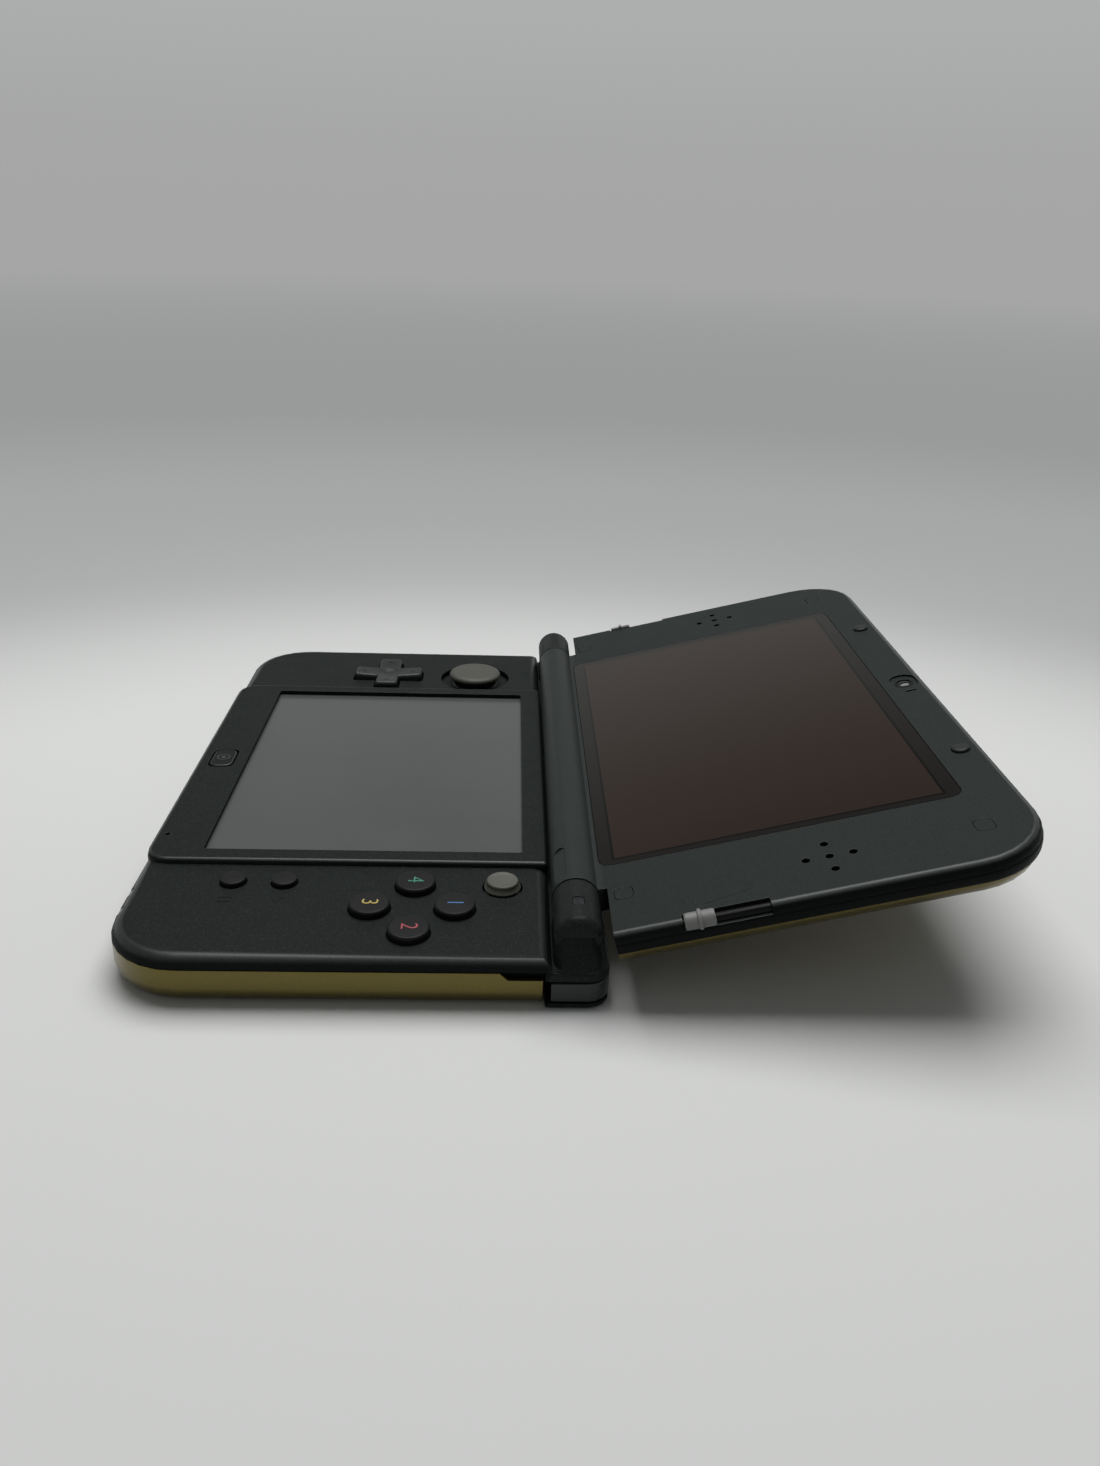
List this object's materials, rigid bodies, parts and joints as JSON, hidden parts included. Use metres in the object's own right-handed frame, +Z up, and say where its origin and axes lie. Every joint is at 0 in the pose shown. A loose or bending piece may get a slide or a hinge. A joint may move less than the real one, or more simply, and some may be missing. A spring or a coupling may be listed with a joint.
{
  "type": "clamshell handheld game console",
  "caption": "Clamshell handheld game console lying open: a base with touch screen, pads and buttons, and a hinged lid with a wide screen and satin gold covers.",
  "frame": {"origin": "middle of the base's flat underside, at the level of the table", "axes": "+Z up, +X to the player's right, +Y from the player's edge towards the hinge and the open lid"},
  "size_m": [0.1618, 0.1732, 0.0357],
  "materials": {
    "charcoal_shell": "fine matte texture with metallic fleck",
    "gold_cover": "satin olive gold paint",
    "touch_screen": "smooth grey touch film",
    "display_stack": "stack of glass plates",
    "screen_cover": "polished dark screen cover",
    "circuit_board": "solder resist",
    "battery_case": "wrapped cell",
    "rubber_membrane": "moulded silicone",
    "inner_plastic": "plain moulding",
    "steel_parts": "bright steel",
    "dark_window": "polished",
    "light_guide": "clear moulding, unlit",
    "grey_thumb_rubber": "soft matte grey",
    "charcoal_button": "satin moulding",
    "slate_button": "glossy moulding",
    "bumper_rubber": "matte rubber",
    "slider_plastic": "light grey moulding"
  },
  "bodies": {
    "base": {"base_top_housing": "charcoal_shell", "base_lower_housing": "charcoal_shell", "rear_cover": "gold_cover", "touch_panel": "touch_screen", "lower_lcd_module": "display_stack", "main_board": "circuit_board", "battery": "battery_case", "button_membrane": "rubber_membrane", "circle_pad_housing": "inner_plastic", "game_card_slot": "inner_plastic", "headphone_socket": "inner_plastic", "charging_socket": "steel_parts", "infrared_window": "dark_window", "status_light_guide": "light_guide", "hinge_light_guide": "light_guide", "hinge_cartridge": "steel_parts", "hinge_bush": "steel_parts", "cover_screw_left": "steel_parts", "cover_screw_right": "steel_parts"},
    "lid": {"lid_bezel": "charcoal_shell", "lid_outer_cover": "gold_cover", "lid_glass": "screen_cover", "lid_lcd_module": "display_stack", "camera_module": "inner_plastic", "inner_camera_lens": "dark_window", "outer_camera_lens_left": "dark_window", "outer_camera_lens_right": "dark_window", "hinge_shaft": "steel_parts", "hinge_pin": "steel_parts", "lid_speaker_left": "inner_plastic", "lid_speaker_right": "inner_plastic", "lid_bumper_left": "bumper_rubber", "lid_bumper_right": "bumper_rubber", "screw_plug_edge_left": "charcoal_shell", "screw_plug_edge_right": "charcoal_shell", "screw_plug_hinge_left": "charcoal_shell", "screw_plug_hinge_right": "charcoal_shell"},
    "depth_slider": {"depth_slider": "slider_plastic"},
    "volume_slider": {"volume_slider": "slider_plastic"},
    "circle_pad_carriage": {"circle_pad_carriage": "inner_plastic"},
    "circle_pad_cap": {"circle_pad_cap": "grey_thumb_rubber"},
    "dpad_pivot": {"dpad_pivot": "inner_plastic"},
    "dpad": {"dpad": "charcoal_button"},
    "c_stick_post": {"c_stick_post": "inner_plastic"},
    "c_stick_cap": {"c_stick_cap": "grey_thumb_rubber"},
    "button_north": {"button_north": "charcoal_button"},
    "button_east": {"button_east": "charcoal_button"},
    "button_south": {"button_south": "charcoal_button"},
    "button_west": {"button_west": "charcoal_button"},
    "start_button": {"start_button": "charcoal_button"},
    "select_button": {"select_button": "charcoal_button"},
    "home_button": {"home_button": "charcoal_button"},
    "power_button": {"power_button": "charcoal_button"},
    "shoulder_left": {"shoulder_left": "slate_button"},
    "shoulder_right": {"shoulder_right": "slate_button"},
    "trigger_left": {"trigger_left": "slate_button"},
    "trigger_right": {"trigger_right": "slate_button"},
    "stylus": {"stylus": "charcoal_button"}
  },
  "joints": [
    {"name": "lid_hinge", "type": "hinge", "parent": "base", "child": "lid", "pos_m": [0, 0.04075, 0.0139], "axis": [1, 0, 0], "range_deg": [0, 166]},
    {"name": "depth_slide", "type": "slide", "parent": "lid", "child": "depth_slider", "axis": [0, 0.9703, 0.2419], "range_m": [0, 0.0098]},
    {"name": "volume_slide", "type": "slide", "parent": "lid", "child": "volume_slider", "axis": [0, 0.9703, 0.2419], "range_m": [0, 0.0098]},
    {"name": "circle_pad_sideways", "type": "slide", "parent": "base", "child": "circle_pad_carriage", "axis": [1, 0, 0], "range_m": [-0.002, 0.002], "stiffness_N_per_m": 300},
    {"name": "circle_pad_forward", "type": "slide", "parent": "circle_pad_carriage", "child": "circle_pad_cap", "axis": [0, 1, 0], "range_m": [-0.002, 0.002], "stiffness_N_per_m": 300},
    {"name": "dpad_rock_forward", "type": "hinge", "parent": "base", "child": "dpad_pivot", "pos_m": [-0.059, -0.0072, 0.0062], "axis": [1, 0, 0], "range_deg": [-3, 3], "stiffness_Nm_per_rad": 0.15},
    {"name": "dpad_rock_sideways", "type": "hinge", "parent": "dpad_pivot", "child": "dpad", "pos_m": [-0.059, -0.0072, 0.0062], "axis": [0, 1, 0], "range_deg": [-3, 3], "stiffness_Nm_per_rad": 0.15},
    {"name": "c_stick_rock_forward", "type": "hinge", "parent": "base", "child": "c_stick_post", "pos_m": [0.0548, 0.0267, 0.0061], "axis": [1, 0, 0], "range_deg": [-3, 3], "stiffness_Nm_per_rad": 0.05},
    {"name": "c_stick_rock_sideways", "type": "hinge", "parent": "c_stick_post", "child": "c_stick_cap", "pos_m": [0.0548, 0.0267, 0.0061], "axis": [0, 1, 0], "range_deg": [-3, 3], "stiffness_Nm_per_rad": 0.05},
    {"name": "button_north_press", "type": "slide", "parent": "base", "child": "button_north", "axis": [0, 0, -1], "range_m": [0, 0.0007], "stiffness_N_per_m": 1200},
    {"name": "button_east_press", "type": "slide", "parent": "base", "child": "button_east", "axis": [0, 0, -1], "range_m": [0, 0.0007], "stiffness_N_per_m": 1200},
    {"name": "button_south_press", "type": "slide", "parent": "base", "child": "button_south", "axis": [0, 0, -1], "range_m": [0, 0.0007], "stiffness_N_per_m": 1200},
    {"name": "button_west_press", "type": "slide", "parent": "base", "child": "button_west", "axis": [0, 0, -1], "range_m": [0, 0.0007], "stiffness_N_per_m": 1200},
    {"name": "start_press", "type": "slide", "parent": "base", "child": "start_button", "axis": [0, 0, -1], "range_m": [0, 0.0005], "stiffness_N_per_m": 1500},
    {"name": "select_press", "type": "slide", "parent": "base", "child": "select_button", "axis": [0, 0, -1], "range_m": [0, 0.0005], "stiffness_N_per_m": 1500},
    {"name": "home_press", "type": "slide", "parent": "base", "child": "home_button", "axis": [0, 0, -1], "range_m": [0, 0.0005], "stiffness_N_per_m": 1500},
    {"name": "power_press", "type": "slide", "parent": "base", "child": "power_button", "axis": [0, 1, 0], "range_m": [0, 0.0005], "stiffness_N_per_m": 1500},
    {"name": "shoulder_left_press", "type": "hinge", "parent": "base", "child": "shoulder_left", "pos_m": [-0.0584, 0.0444, 0.0037], "axis": [0, 0, 1], "range_deg": [0, 3], "stiffness_Nm_per_rad": 0.4},
    {"name": "shoulder_right_press", "type": "hinge", "parent": "base", "child": "shoulder_right", "pos_m": [0.0584, 0.0444, 0.0037], "axis": [0, 0, -1], "range_deg": [0, 3], "stiffness_Nm_per_rad": 0.4},
    {"name": "trigger_left_press", "type": "slide", "parent": "base", "child": "trigger_left", "axis": [0, -1, 0], "range_m": [0, 0.0009], "stiffness_N_per_m": 1000},
    {"name": "trigger_right_press", "type": "slide", "parent": "base", "child": "trigger_right", "axis": [0, -1, 0], "range_m": [0, 0.0009], "stiffness_N_per_m": 1000},
    {"name": "stylus_draw", "type": "slide", "parent": "base", "child": "stylus", "axis": [0, -1, 0], "range_m": [0, 0.072]}
  ]
}
